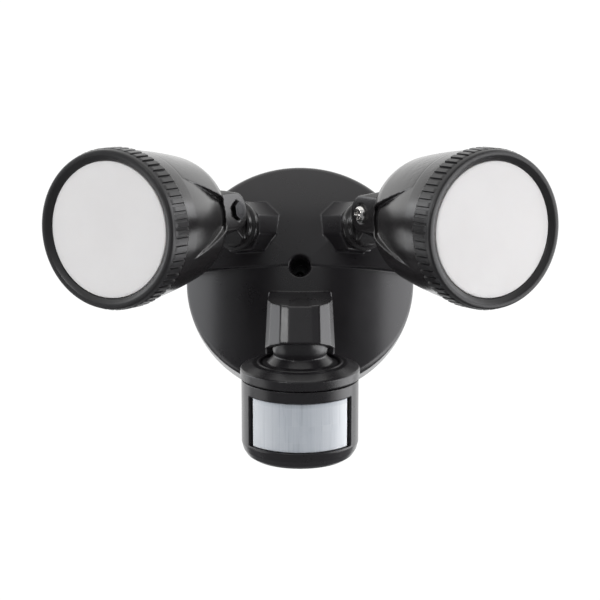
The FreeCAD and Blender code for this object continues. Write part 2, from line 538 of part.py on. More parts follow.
body = body.cut(sector(R_BODY - 6, R_BODY + 2, WZ0, WZ1, W_ANG))
for a in (35, 145, 215, 325):
    cx, cy = 25.0 * math.cos(math.radians(a)), 25.0 * math.sin(math.radians(a))
    if cy > 0:
        body = body.fuse(cyl(3.0, (cx, cy, Z1 + 1.0), (0, 0, 1), Z0 - Z1 - 1.6))
        body = body.cut(cyl(1.7, (cx, cy, Z1 - 2.0), (0, 0, 1), Z0 - Z1 + 4))
        body = body.cut(cyl(3.4, (cx, cy, Z1 - 2.0), (0, 0, 1), 6.2))
        body = body.fuse(cyl(5.0, (cx, cy, Z1 + 1.5), (0, 0, 1), 6.5).cut(cyl(3.4, (cx, cy, Z1), (0, 0, 1), 4.2)).cut(cyl(1.7, (cx, cy, Z1), (0, 0, 1), 20)).common(body_out))
# dial wells in the underside
DIALS = {"time_dial": (-10.5, 6.0), "range_dial": (10.5, 6.0)}
for n, (dx, dy) in DIALS.items():
    body = body.fuse(cyl(7.2, (dx, dy, Z1 + 0.5), (0, 0, 1), 6.5))
    body = body.cut(cyl(5.4, (dx, dy, Z1 - 2), (0, 0, 1), 5.6))
    body = body.cut(cyl(1.56, (dx, dy, Z1 - 2), (0, 0, 1), 12))
body = one(body)
print("body solids", len(body.Solids))
save("sensor_body", placed(sorted(body.Solids, key=lambda s: -s.Volume)[0], sen_pl))

# curved lens in the window, clear of the frame all round
lens = sector(R_BODY - 2.2, R_BODY - 1.0, WZ0 + 0.3, WZ1 - 0.3, 55.3)
fl = sector(R_BODY - 3.6, R_BODY - 2.6, WZ0 - 1.6, WZ1 + 1.6, 55.3)
mid = sector(R_BODY - 3.0, R_BODY - 1.6, WZ0 + 0.3, WZ1 - 0.3, 55.3)
sl = lens.fuse(mid).fuse(fl)
save("sensor_lens", placed(one(sl), sen_pl))

# detector board standing behind the lens, with the detector can
sb = box(-20, 20, 2.5, 4.1, WZ0 - 1.0, WZ1 + 4.0)
save("sensor_board", placed(sb, sen_pl))
can = cyl(4.6, (0, 2.3, (WZ0 + WZ1) / 2), (0, -1, 0), 4.2).fuse(cyl(5.2, (0, 2.4, (WZ0 + WZ1) / 2), (0, -1, 0), 0.8))
can = can.cut(box(-2.0, 2.0, -2.5, -1.5, (WZ0 + WZ1) / 2 - 1.5, (WZ0 + WZ1) / 2 + 1.5))
save("detector_can", placed(can, sen_pl))
pots = []
for n, (dx, dy) in DIALS.items():
    pots.append(box(dx - 4.5, dx + 4.5, dy + 0.0 - 4.5, dy + 4.5, Z1 + 9.4, Z1 + 12.6).cut(cyl(1.75, (dx, dy, Z1 + 5), (0, 0, 1), 12)).cut(box(-30, 30, 2.2, 4.4, -90, 0)))
pots = [sorted(p.Solids, key=lambda s: -s.Volume)[0] for p in pots]
save("dial_switches", placed(Part.makeCompound(pots), sen_pl))
for n, (dx, dy) in DIALS.items():
    d = cyl(5.0, (dx, dy, Z1 - 0.6), (0, 0, 1), 3.8)
    d = d.fuse(cyl(1.5, (dx, dy, Z1 + 3.0), (0, 0, 1), 8.0))
    d = d.cut(box(dx - 0.6, dx + 0.6, dy - 4.2, dy + 4.2, Z1 - 1, Z1 + 0.4))
    save(n, placed(d, sen_pl))
hs = []
for a in (35, 145):
    cx, cy = 25.0 * math.cos(math.radians(a)), 25.0 * math.sin(math.radians(a))
    h = cyl(2.9, (cx, cy, Z1 + 2.0), (0, 0, 1), 2.1).fuse(cyl(1.25, (cx, cy, Z1 + 4.0), (0, 0, 1), ZT - 3.1 - Z1 - 4.0))
    h = h.cut(box(cx - 2.2, cx + 2.2, cy - 0.4, cy + 0.4, Z1 + 1.9, Z1 + 3.0))
    hs.append(h)
save("housing_screws", placed(Part.makeCompound(hs), sen_pl))
pin = cyl(1.98, (-13.9, 0, 0), (1, 0, 0), 27.8).common(Part.makeSphere(15.2))
save("sensor_pin", placed(pin, sen_pl))

# swivel in world axes: stem up into the cover, tongue down over the pin
sw = cyl(5.0, (0, sy, SOCK_TOP - 0.6), (0, 0, 1), WALL_TOP + 1.3 - SOCK_TOP + 0.6)
tg = cyl(4.6, (-7.3, sy, sz), (1, 0, 0), 14.6).fuse(box(-7.3, 7.3, sy - 3.2, sy + 3.2, sz, SOCK_TOP - 0.3))
tg = tg.common(cyl(7.3, (0, sy, sz - 10), (0, 0, 1), 60))
sw = sw.fuse(tg)
sw = sw.cut(cyl(2.05, (-20, sy, sz), (1, 0, 0), 40))
save("sensor_swivel", one(sw))
clip = cyl(6.6, (0, sy, WALL_TOP + 0.2), (0, 0, 1), 0.8).cut(cyl(5.0, (0, sy, WALL_TOP - 5), (0, 0, 1), 20))
save("swivel_clip", clip)
print("done")
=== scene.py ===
import json
import math

import bmesh
import bpy
import numpy as np
from mathutils import Matrix, Vector


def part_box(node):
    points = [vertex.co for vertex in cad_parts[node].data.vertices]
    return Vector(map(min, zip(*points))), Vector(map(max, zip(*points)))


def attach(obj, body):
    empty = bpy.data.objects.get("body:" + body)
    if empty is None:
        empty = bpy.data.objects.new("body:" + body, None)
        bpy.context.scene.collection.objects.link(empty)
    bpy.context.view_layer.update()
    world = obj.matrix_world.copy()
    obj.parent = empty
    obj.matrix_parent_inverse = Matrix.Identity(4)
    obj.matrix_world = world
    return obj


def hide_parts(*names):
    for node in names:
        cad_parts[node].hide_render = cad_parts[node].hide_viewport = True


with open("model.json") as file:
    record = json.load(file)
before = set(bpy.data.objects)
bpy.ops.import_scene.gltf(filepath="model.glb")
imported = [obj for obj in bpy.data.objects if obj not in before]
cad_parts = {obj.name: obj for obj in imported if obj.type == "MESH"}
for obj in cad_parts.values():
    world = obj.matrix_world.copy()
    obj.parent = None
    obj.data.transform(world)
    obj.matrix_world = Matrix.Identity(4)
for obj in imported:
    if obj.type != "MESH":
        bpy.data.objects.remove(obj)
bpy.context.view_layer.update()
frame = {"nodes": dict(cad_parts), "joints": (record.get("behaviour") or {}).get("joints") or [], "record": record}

NODES = frame["nodes"]
BODY = {n: b for b, ns in frame["record"]["behaviour"]["bodies"].items() for n in ns}
SLOT = {s["node"]: s["material_slot"] for s in frame["record"]["subparts"]}
JOINT = {j["name"]: j for j in frame["joints"]}
sc = bpy.context.scene
rad = math.radians


# ---- camera ----------------------------------------------------------------
cam_data = bpy.data.cameras.new("camera")
cam = bpy.data.objects.new("camera", cam_data)
sc.collection.objects.link(cam)
sc.camera = cam
EYE = Vector((0.0, -1.2840, -0.2172))
LOOK = Vector((0.0, 0.98769, 0.15643))
cam.location = EYE
cam.rotation_mode = "QUATERNION"
cam.rotation_quaternion = LOOK.to_track_quat("-Z", "Y")
cam_data.sensor_width = 36.0
cam_data.lens = 36.0 * 2203.16 / 600.0
cam_data.clip_start, cam_data.clip_end = 0.05, 50.0


# ---- node material tools ---------------------------------------------------
def new_mat(name):
    m = bpy.data.materials.new(name)
    m.use_nodes = True
    nt = m.node_tree
    nt.nodes.clear()
    out = nt.nodes.new("ShaderNodeOutputMaterial")
    bs = nt.nodes.new("ShaderNodeBsdfPrincipled")
    nt.links.new(bs.outputs[0], out.inputs[0])
    return m, nt, bs


def coords(nt, scale=1.0):
    tc = nt.nodes.new("ShaderNodeTexCoord")
    mp = nt.nodes.new("ShaderNodeMapping")
    mp.inputs["Scale"].default_value = (scale, scale, scale) if isinstance(scale, (int, float)) else scale
    nt.links.new(tc.outputs["Object"], mp.inputs["Vector"])
    return mp.outputs["Vector"]


def noise(nt, vec, scale, detail=3.0, rough=0.55):
    n = nt.nodes.new("ShaderNodeTexNoise")
    n.inputs["Scale"].default_value = scale
    n.inputs["Detail"].default_value = detail
    n.inputs["Roughness"].default_value = rough
    nt.links.new(vec, n.inputs["Vector"])
    return n.outputs["Fac"]


def ramp(nt, fac, stops):
    r = nt.nodes.new("ShaderNodeValToRGB")
    el = r.color_ramp.elements
    while len(el) > 1:
        el.remove(el[-1])
    el[0].position, el[0].color = stops[0][0], tuple(stops[0][1]) + (1.0,)
    for p, c in stops[1:]:
        e = el.new(p)
        e.color = tuple(c) + (1.0,)
    nt.links.new(fac, r.inputs["Fac"])
    return r.outputs["Color"]


def mrange(nt, fac, a, b, lo=0.0, hi=1.0):
    r = nt.nodes.new("ShaderNodeMapRange")
    r.inputs["From Min"].default_value = lo
    r.inputs["From Max"].default_value = hi
    r.inputs["To Min"].default_value = a
    r.inputs["To Max"].default_value = b
    nt.links.new(fac, r.inputs["Value"])
    return r.outputs["Result"]


def bump(nt, bs, height, strength, dist, prev=None):
    b = nt.nodes.new("ShaderNodeBump")
    b.inputs["Strength"].default_value = strength
    b.inputs["Distance"].default_value = dist
    nt.links.new(height, b.inputs["Height"])
    if prev is not None:
        nt.links.new(prev, b.inputs["Normal"])
    nt.links.new(b.outputs["Normal"], bs.inputs["Normal"])
    return b.outputs["Normal"]


def g(v, warm=0.0):
    return (v * (1 + warm), v, v * (1 - warm))


def moulded(name, col, rough, var=0.12, grain=2600.0, grain_s=0.06, spec=0.5, coat=0.0, patch=55.0, dust=0.0):
    """Satin moulded or painted surface: fine grain, slow tone and gloss variation, slight handling marks."""
    m, nt, bs = new_mat(name)
    v = coords(nt)
    slow = noise(nt, v, patch, 4.0, 0.6)
    mid = noise(nt, v, patch * 7, 3.0, 0.6)
    c0 = [x * (1 - var) for x in col]
    c1 = [min(1.0, x * (1 + var) + dust) for x in col]
    nt.links.new(ramp(nt, slow, [(0.3, c0), (0.72, c1)]), bs.inputs["Base Color"])
    mix = nt.nodes.new("ShaderNodeMath")
    mix.operation = "ADD"
    nt.links.new(mrange(nt, slow, rough - 0.02, rough + 0.02, 0.3, 0.7), mix.inputs[0])
    nt.links.new(mrange(nt, mid, -0.012, 0.012, 0.3, 0.7), mix.inputs[1])
    nt.links.new(mix.outputs[0], bs.inputs["Roughness"])
    bs.inputs["Specular IOR Level"].default_value = spec
    bs.inputs["Coat Weight"].default_value = coat
    fine = noise(nt, v, grain, 2.0, 0.5)
    nrm = bump(nt, bs, fine, grain_s, 0.00006)
    bump(nt, bs, slow, 0.04, 0.00025, nrm)
    return m


MAT = {}
MAT["bronze_plastic"] = moulded("bronze_plastic", (0.0122, 0.0110, 0.0126), 0.29, grain=1300.0, grain_s=0.02)
MAT["bronze_metal"] = moulded("bronze_metal", (0.0130, 0.0118, 0.0124), 0.24, grain=1300.0, grain_s=0.02)
MAT["bezel"] = moulded("bezel", (0.0130, 0.0122, 0.0130), 0.36, grain=1300.0, grain_s=0.03)
MAT["foam_gasket"] = moulded("foam_gasket", (0.012, 0.012, 0.012), 0.85, grain=900.0, grain_s=0.5, spec=0.2)
MAT["rubber_seal"] = moulded("rubber_seal", (0.012, 0.012, 0.012), 0.6, grain=1500.0, grain_s=0.15, spec=0.3)
MAT["dark_plastic"] = moulded("dark_plastic", (0.014, 0.013, 0.014), 0.42)
MAT["dial_plastic"] = moulded("dial_plastic", (0.30, 0.30, 0.30), 0.45)
MAT["components"] = moulded("components", (0.035, 0.036, 0.045), 0.45, patch=120.0)
MAT["led_board"] = moulded("led_board", (0.72, 0.72, 0.70), 0.4)
MAT["led_chip"] = moulded("led_chip", (0.80, 0.62, 0.16), 0.25)
MAT["reflector"] = moulded("reflector", (0.80, 0.80, 0.80), 0.22)
MAT["green_screw"] = moulded("green_screw", (0.03, 0.25, 0.08), 0.35)


def board(name):
    """Green board: solder mask with fine track lines and pads."""
    m, nt, bs = new_mat(name)
    v = coords(nt)
    br = nt.nodes.new("ShaderNodeTexBrick")
    br.inputs["Scale"].default_value = 260.0
    br.inputs["Mortar Size"].default_value = 0.035
    br.inputs["Color1"].default_value = (0.016, 0.10, 0.045, 1)
    br.inputs["Color2"].default_value = (0.020, 0.12, 0.05, 1)
    br.inputs["Mortar"].default_value = (0.06, 0.22, 0.08, 1)
    nt.links.new(v, br.inputs["Vector"])
    nt.links.new(br.outputs["Color"], bs.inputs["Base Color"])
    bs.inputs["Roughness"].default_value = 0.3
    bump(nt, bs, br.outputs["Fac"], 0.2, 0.0001)
    return m


MAT["circuit_board"] = board("circuit_board")


def metal(name, col, rough, scale=(900, 900, 60), var=0.1, bump_s=0.12):
    m, nt, bs = new_mat(name)
    v = coords(nt, scale)
    n = noise(nt, v, 1.0, 3.0, 0.6)
    v2 = coords(nt)
    slow = noise(nt, v2, 120.0, 3.0, 0.6)
    nt.links.new(ramp(nt, slow, [(0.3, [x * (1 - var) for x in col]), (0.7, [min(1, x * (1 + var)) for x in col])]), bs.inputs["Base Color"])
    bs.inputs["Metallic"].default_value = 1.0
    nt.links.new(mrange(nt, n, rough - 0.08, rough + 0.10, 0.25, 0.75), bs.inputs["Roughness"])
    bump(nt, bs, n, bump_s, 0.00008)
    return m


MAT["zinc_plate"] = metal("zinc_plate", (0.60, 0.60, 0.58), 0.36)
MAT["black_steel"] = metal("black_steel", (0.045, 0.045, 0.047), 0.38)
MAT["zinc_screw"] = metal("zinc_screw", (0.62, 0.62, 0.60), 0.30, (600, 600, 600))
MAT["metal_can"] = metal("metal_can", (0.58, 0.58, 0.56), 0.28)
MAT["heat_sink"] = metal("heat_sink", (0.62, 0.63, 0.65), 0.45, (700, 700, 700), bump_s=0.3)
MAT["steel_screw"] = metal("steel_screw", (0.74, 0.72, 0.70), 0.12, (500, 500, 500), bump_s=0.04)


def frosted(name):
    """Opal diffuser: white, slightly warm body, soft scatter and a fine satin skin."""
    m, nt, bs = new_mat(name)
    v = coords(nt)
    slow = noise(nt, v, 30.0, 3.0, 0.5)
    nt.links.new(ramp(nt, slow, [(0.3, (0.735, 0.717, 0.712)), (0.7, (0.765, 0.752, 0.747))]), bs.inputs["Base Color"])
    nt.links.new(mrange(nt, noise(nt, v, 600.0, 2.0), 0.46, 0.56), bs.inputs["Roughness"])
    bs.inputs["Subsurface Weight"].default_value = 0.35
    bs.inputs["Subsurface Radius"].default_value = (0.004, 0.0038, 0.0036)
    bs.inputs["Subsurface Scale"].default_value = 1.0
    bs.inputs["Specular IOR Level"].default_value = 0.35
    bump(nt, bs, noise(nt, v, 1800.0, 2.0), 0.06, 0.00005)
    return m


SENSOR_TILT = 22.0
SENSOR_B = Vector((0.0, -0.0820, -0.0516))


def sensor_coords(nt):
    """Object coordinates turned into the sensor's own frame: X sideways, Z along the housing."""
    tc = nt.nodes.new("ShaderNodeTexCoord")
    mp = nt.nodes.new("ShaderNodeMapping")
    back = Matrix.Rotation(rad(-SENSOR_TILT), 3, "X")
    mp.inputs["Rotation"].default_value = (rad(-SENSOR_TILT), 0.0, 0.0)
    mp.inputs["Location"].default_value = tuple(-(back @ SENSOR_B))
    nt.links.new(tc.outputs["Object"], mp.inputs["Vector"])
    return mp.outputs["Vector"]


def mathn(nt, op, a, b=None):
    n = nt.nodes.new("ShaderNodeMath")
    n.operation = op
    for i, x in enumerate((a, b)):
        if x is None:
            continue
        if isinstance(x, (int, float)):
            n.inputs[i].default_value = x
        else:
            nt.links.new(x, n.inputs[i])
    return n.outputs[0]


def fresnel_mat(name):
    """Milky detector lens: bluish white, lighter to the sides, upright ribs, faint cells, and a painted shade along
    the top edge under the lid.
    """
    m, nt, bs = new_mat(name)
    loc = sensor_coords(nt)
    sep = nt.nodes.new("ShaderNodeSeparateXYZ")
    nt.links.new(loc, sep.inputs[0])
    mp = nt.nodes.new("ShaderNodeMapping")
    mp.inputs["Scale"].default_value = (900.0, 500.0, 22.0)
    nt.links.new(loc, mp.inputs["Vector"])
    ribs = noise(nt, mp.outputs["Vector"], 1.0, 2.0, 0.5)
    # cells of the lens pattern, drawn on X and Z
    cmb = nt.nodes.new("ShaderNodeCombineXYZ")
    nt.links.new(sep.outputs["X"], cmb.inputs[0])
    nt.links.new(sep.outputs["Z"], cmb.inputs[1])
    br = nt.nodes.new("ShaderNodeTexBrick")
    br.offset = 0.0
    br.inputs["Scale"].default_value = 100.0
    br.inputs["Brick Width"].default_value = 0.42
    br.inputs["Row Height"].default_value = 0.95
    br.inputs["Mortar Size"].default_value = 0.012
    br.inputs["Mortar Smooth"].default_value = 1.0
    br.inputs["Color1"].default_value = (0.46, 0.46, 0.46, 1)
    br.inputs["Color2"].default_value = (0.56, 0.56, 0.56, 1)
    br.inputs["Mortar"].default_value = (0.62, 0.62, 0.62, 1)
    nt.links.new(cmb.outputs[0], br.inputs["Vector"])
    patch = noise(nt, loc, 150.0, 2.0, 0.5)
    side = mrange(nt, mathn(nt, "ABSOLUTE", sep.outputs["X"]), 0.0, 0.34, 0.004, 0.027)
    cell = mathn(nt, "MULTIPLY", mrange(nt, br.outputs["Color"], -0.5, 0.5, 0.42, 0.60), mrange(nt, patch, 0.03, 0.22, 0.42, 0.62))
    rib = mrange(nt, ribs, -0.045, 0.045, 0.3, 0.7)
    val = mathn(nt, "ADD", mathn(nt, "ADD", side, cell), mathn(nt, "ADD", rib, 0.33))
    # painted shade: the window is darkened along its top edge, under the lid
    lid_painted_shade = mrange(nt, sep.outputs["Z"], 0.0, 0.26, -0.0285, -0.0250)
    val = mathn(nt, "SUBTRACT", val, lid_painted_shade)
    col = ramp(nt, val, [(0.0, (0.22, 0.235, 0.255)), (0.33, (0.44, 0.47, 0.51)), (0.67, (0.60, 0.62, 0.645)), (1.0, (0.80, 0.81, 0.82))])
    nt.links.new(col, bs.inputs["Base Color"])
    nt.links.new(mrange(nt, ribs, 0.26, 0.34, 0.3, 0.7), bs.inputs["Roughness"])
    bs.inputs["Subsurface Weight"].default_value = 0.45
    bs.inputs["Subsurface Radius"].default_value = (0.0016, 0.0017, 0.0018)
    bs.inputs["Subsurface Scale"].default_value = 1.0
    bs.inputs["Specular IOR Level"].default_value = 0.5
    bump(nt, bs, ribs, 0.10, 0.00012)
    return m


MAT["frosted_lens"] = frosted("frosted_lens")
MAT["fresnel_lens"] = fresnel_mat("fresnel_lens")


# ---- mesh tools ------------------------------------------------------------
def set_mat(o, m):
    o.data.materials.clear()
    o.data.materials.append(m)
    for p in o.data.polygons:
        p.material_index = 0


def obj_from(name, verts, faces, smooth=True):
    me = bpy.data.meshes.new(name)
    me.from_pydata([tuple(v) for v in verts], [], faces)
    me.update()
    if smooth:
        me.polygons.foreach_set("use_smooth", [True] * len(me.polygons))
    o = bpy.data.objects.new(name, me)
    sc.collection.objects.link(o)
    return o


def apply_mods(o):
    dg = bpy.context.evaluated_depsgraph_get()
    me = bpy.data.meshes.new_from_object(o.evaluated_get(dg))
    old = o.data
    o.modifiers.clear()
    o.data = me
    bpy.data.meshes.remove(old)
    me.polygons.foreach_set("use_smooth", [True] * len(me.polygons))
    return o


def softened(node, voxel, passes, name, mat, factor=0.5, web=None):
    """The node's own shape, remeshed evenly, with its edges eased as a moulding's are."""
    src = NODES[node]
    me = src.data.copy()
    bm = bmesh.new()
    bm.from_mesh(me)
    bmesh.ops.remove_doubles(bm, verts=bm.verts, dist=2e-6)
    if web is not None:
        # a thin web across a bore: (centre, radius, thickness along Y)
        c, r, t = web
        bmesh.ops.create_cone(bm, cap_ends=True, segments=32, radius1=r, radius2=r, depth=t,
                              matrix=Matrix.Translation(Vector(c)) @ Matrix.Rotation(rad(90), 4, "X"))
    bm.to_mesh(me)
    bm.free()
    me.name = name
    o = bpy.data.objects.new(name, me)
    sc.collection.objects.link(o)
    r = o.modifiers.new("even", "REMESH")
    r.mode = "VOXEL"
    r.voxel_size = voxel
    if passes:
        s = o.modifiers.new("ease", "SMOOTH")
        s.factor = factor
        s.iterations = passes
    apply_mods(o)
    set_mat(o, mat)
    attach(o, BODY[node])
    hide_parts(node)
    return o


def head_frame(side):
    """Matrix of the head's own frame: origin at the knuckle pin, X along the pin, -Y out of the lens."""
    j = JOINT["head_tilt_" + side]
    x = Vector(j["axis"]).normalized()
    k = Vector(j["pos_m"])
    lo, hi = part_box("head_lens_" + side)
    c = (lo + hi) / 2
    y = -(c - k)
    y = (y - x * y.dot(x)).normalized()
    z = x.cross(y)
    m = Matrix((x, y, z)).transposed().to_4x4()
    m.translation = k
    return m


def lathe(name, pts, n, mat44, closed=True):
    """Revolve (radius, y) points about the local Y axis; radii may be arrays over the angle."""
    vs, fs = [], []
    k = len(pts)
    for i in range(n):
        a = 2 * math.pi * i / n
        for r, y in pts:
            rr = r[i] if hasattr(r, "__len__") else r
            yy = y[i] if hasattr(y, "__len__") else y
            vs.append(mat44 @ Vector((rr * math.sin(a), yy, rr * math.cos(a))))
    for i in range(n):
        j = (i + 1) % n
        for q in range(k if closed else k - 1):
            w = (q + 1) % k
            fs.append((i * k + q, i * k + w, j * k + w, j * k + q))
    return obj_from(name, vs, fs)


def fix_normals(o):
    bm = bmesh.new()
    bm.from_mesh(o.data)
    bmesh.ops.recalc_face_normals(bm, faces=bm.faces)
    bm.to_mesh(o.data)
    bm.free()


def arc_pts(c, r, a0, a1, n):
    return [(c[0] + r * math.cos(rad(a0 + (a1 - a0) * i / n)), c[1] + r * math.sin(rad(a0 + (a1 - a0) * i / n))) for i in range(n + 1)]


def sstep(e0, e1, x):
    t = max(0.0, min(1.0, (x - e0) / (e1 - e0)))
    return t * t * (3 - 2 * t)


MM = 0.001
HEAD_L = 109.0
R_BEZEL = 42.6
N_GRIP = 64


def Yt(t):
    return (-HEAD_L + t)


# ---- head ring with its grip grooves ---------------------------------------
def bezel(side):
    m = head_frame(side)
    # around one pitch, close samples at the groove's walls
    pitch = 2 * math.pi * R_BEZEL / N_GRIP
    offs = [0.0, 0.35, 0.62, 0.72, 0.80, 0.88, 0.98, 1.15, 1.5, 1.85]
    loc = sorted([-o for o in offs if o > 0] + offs)
    per = [(o / pitch) for o in loc]
    angs = []
    for i in range(N_GRIP):
        for p in per:
            angs.append((i + p) / N_GRIP * 2 * math.pi)
    # outer profile as (t, radius), front to back
    lip_in = [(2.6, 36.3), (1.4, 36.3), (0.7, 36.32), (0.4, 36.4), (0.15, 36.6), (-0.3, 37.15), (-0.9, 38.0), (-1.3, 38.6), (-1.5, 38.95), (-1.58, 39.25), (-1.63, 39.8), (-1.64, 40.4), (-1.62, 40.95), (-1.52, 41.25), (-1.3, 41.5), (-0.9, 41.7), (-0.4, 41.85), (0.0, 41.95)]
    band = [(t, None) for t in (0.35, 0.6, 0.85, 1.1, 1.45, 1.8, 2.2, 2.7, 3.3, 4.0, 5.0, 6.2, 7.5, 8.8, 10.0, 11.0, 11.8, 12.35, 12.7, 12.92, 13.0)]

    def rband(t):
        r = R_BEZEL
        r -= 0.60 * (1.0 - sstep(0.2, 2.6, t))
        if t > 12.2:
            r -= 0.5 * ((t - 12.2) / 0.8) ** 2
        return r
    back = [(13.0, 41.3), (13.0, 39.55), (8.0, 39.5), (3.25, 39.5), (3.25, 37.4), (3.25, 36.3)]
    vs, fs = [], []
    prof_n = len(lip_in) + len(band) + len(back)
    for a in angs:
        # distance from the groove's middle line
        u = (a * N_GRIP / (2 * math.pi))
        du = abs(u - round(u)) * pitch
        for t, r in lip_in:
            vs.append((r, t, a))
        for t, _ in band:
            r = rband(t)
            # groove: flat floor, steep walls, rounded front end
            front = 0.9
            e = du
            if t < front + 0.9:
                e = math.hypot(du, front + 0.9 - t)
            dep = (r - 41.4) * (1.0 - sstep(0.70, 0.98, e))
            vs.append((r - dep, t, a))
        for t, r in back:
            vs.append((r, t, a))
    vv = [m @ Vector((r * math.sin(a) * MM, Yt(t) * MM, r * math.cos(a) * MM)) for r, t, a in vs]
    n = len(angs)
    for i in range(n):
        j = (i + 1) % n
        for q in range(prof_n):
            w = (q + 1) % prof_n
            fs.append((i * prof_n + q, i * prof_n + w, j * prof_n + w, j * prof_n + q))
    o = obj_from("ring_" + side, vv, fs)
    fix_normals(o)
    es = o.modifiers.new("edges", "EDGE_SPLIT")
    es.split_angle = rad(62)
    set_mat(o, MAT["bezel"])
    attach(o, "head_" + side)
    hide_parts("head_bezel_" + side)
    return o


def lens_disc(side):
    """Opal disc: a very shallow dome with a rolled edge, seated behind the lip."""
    m = head_frame(side)
    pts = []
    R = 35.7
    for i in range(26):
        r = R * i / 25.0
        t = 0.42 - 0.30 * (1 - (r / R) ** 2)
        pts.append((max(r, 0.0005), t))
    pts += [(35.82, 0.48), (35.91, 0.62), (35.94, 0.9), (35.94, 3.5), (38.85, 3.55), (38.85, 5.4), (34.2, 5.1), (30.2, 2.7), (0.0005, 2.5)]
    pm = [(r * MM, Yt(t) * MM) for r, t in pts]
    o = lathe("diffuser_" + side, pm, 192, m, closed=False)
    bm = bmesh.new()
    bm.from_mesh(o.data)
    bmesh.ops.remove_doubles(bm, verts=bm.verts, dist=3e-6)
    bmesh.ops.recalc_face_normals(bm, faces=bm.faces)
    bm.to_mesh(o.data)
    bm.free()
    set_mat(o, MAT["frosted_lens"])
    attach(o, "head_" + side)
    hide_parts("head_lens_" + side)
    return o


# ---- true surfaces: remeshed points that lie close to a plain face go back onto it ---
def get_pts(o, inv):
    n = len(o.data.vertices)
    a = np.empty(n * 3)
    o.data.vertices.foreach_get("co", a)
    a = a.reshape(n, 3) * 1000.0
    m = np.array(inv)
    t = m[:3, 3] * 1000.0
    return a @ m[:3, :3].T + t


def put_pts(o, pts, mat):
    m = np.array(mat)
    a = pts @ m[:3, :3].T + m[:3, 3] * 1000.0
    o.data.vertices.foreach_set("co", (a / 1000.0).ravel())
    o.data.update()


def pull(d, near, far):
    """Weight 1 for points closer than near to the face, 0 beyond far."""
    t = np.clip((far - np.abs(d)) / (far - near), 0.0, 1.0)
    return t * t * (3 - 2 * t)


def true_cover(o):
    p = get_pts(o, Matrix.Identity(4))
    x, y, z = p[:, 0], p[:, 1], p[:, 2]
    xs = np.clip(np.abs(x), 0, 90)
    lower = 54.0 - np.sqrt(92.0 ** 2 - xs ** 2)
    upper = np.maximum(80.0 - np.sqrt(118.0 ** 2 - np.clip(z, 0, 90) ** 2), 112.0 - np.sqrt(150.0 ** 2 - xs ** 2))
    t = np.where(z < 0, lower, upper)
    d = t - y
    y += d * pull(d, 0.06, 0.13)
    rr = np.hypot(x, z + 4.5)
    d = 66.5 - rr
    k = 1 + d / rr * pull(d, 0.05, 0.11)
    p[:, 0] *= k
    p[:, 2] = (p[:, 2] + 4.5) * k - 4.5
    # the sensor boss: the edges beside the narrow facets stand out a little more
    kz = 1.0 - 0.10 * np.clip((p[:, 2] + 53.9) / 39.9, 0.0, 1.0)
    u = np.abs(p[:, 0]) / kz
    w = np.clip(np.minimum((u - 6.16) / 5.04, (17.04 - u) / 5.84), 0.0, 1.0)
    on = (p[:, 1] < -88.0) & (p[:, 2] < -20.0)
    p[:, 1] -= np.where(on, 0.58 * w * kz, 0.0)
    put_pts(o, p, Matrix.Identity(4))


def true_round(o, mat, axis, radius, near=0.05, far=0.11):
    """Snap to radius(distance along the axis) about the axis of the frame mat."""
    p = get_pts(o, mat.inverted())
    i, j = [k for k in range(3) if k != axis]
    rr = np.maximum(np.hypot(p[:, i], p[:, j]), 1e-6)
    d = radius(p[:, axis]) - rr
    k = 1 + d / rr * pull(d, near, far)
    p[:, i] *= k
    p[:, j] *= k
    put_pts(o, p, mat)


def arc_table(arcs):
    """Radius against distance behind the lens plane, from three-point arcs."""
    ts, rs = [], []
    for (ax, ay), (bx, by), (cx, cy) in arcs:
        d = 2 * (ax * (by - cy) + bx * (cy - ay) + cx * (ay - by))
        ux = ((ax ** 2 + ay ** 2) * (by - cy) + (bx ** 2 + by ** 2) * (cy - ay) + (cx ** 2 + cy ** 2) * (ay - by)) / d
        uy = ((ax ** 2 + ay ** 2) * (cx - bx) + (bx ** 2 + by ** 2) * (ax - cx) + (cx ** 2 + cy ** 2) * (bx - ax)) / d
        a0 = math.atan2(ay - uy, ax - ux)
        a1 = math.atan2(cy - uy, cx - ux)
        a1 = a0 + ((a1 - a0 + math.pi) % (2 * math.pi) - math.pi)
        r = math.hypot(ax - ux, ay - uy)
        for q in range(161):
            a = a0 + (a1 - a0) * q / 160.0
            rs.append(ux + r * math.cos(a))
            ts.append(uy + r * math.sin(a))
    ts, rs = np.array(ts), np.array(rs)
    o = np.argsort(ts)
    ts, rs = ts[o], rs[o]
    return lambda y: np.where((y + HEAD_L > ts[0]) & (y + HEAD_L < ts[-1]), np.interp(y + HEAD_L, ts, rs), 1e3)


SKIN = arc_table([((41.2, 13.4), (39.0, 36), (35.2, 59)), ((35.2, 59), (31.2, 68.6), (24.0, 77.0)), ((24.0, 77.0), (18.6, 83.0), (15.6, 90))])
CORE = arc_table([((40.335, 24.0), (36.3, 44), (31.4, 60)), ((31.4, 60), (28.0, 68), (22.4, 75.6))])
SENSOR_M = Matrix.Translation(SENSOR_B) @ Matrix.Rotation(rad(SENSOR_TILT), 4, "X")

cover = softened("cover", 0.00052, 5, "canopy", MAT["bronze_plastic"])
true_cover(cover)
for s in ("right", "left"):
    softened("arm_" + s, 0.00042, 5, "swivel_arm_" + s, MAT["bronze_metal"])
    bell = softened("head_shell_" + s, 0.00050, 6, "bell_" + s, MAT["bronze_metal"])
    for prof in (SKIN, CORE):
        true_round(bell, head_frame(s), 1, prof, 0.06, 0.12)
    bezel(s)
    lens_disc(s)
    # painted shade: the left screw is the same part as the right one but is given black steel instead of bright steel,
    # so it reads dark on the left knuckle
    softened("knuckle_screw_" + s, 0.00016, 4, "pivot_screw_" + s, MAT["steel_screw" if s == "right" else "black_steel"])
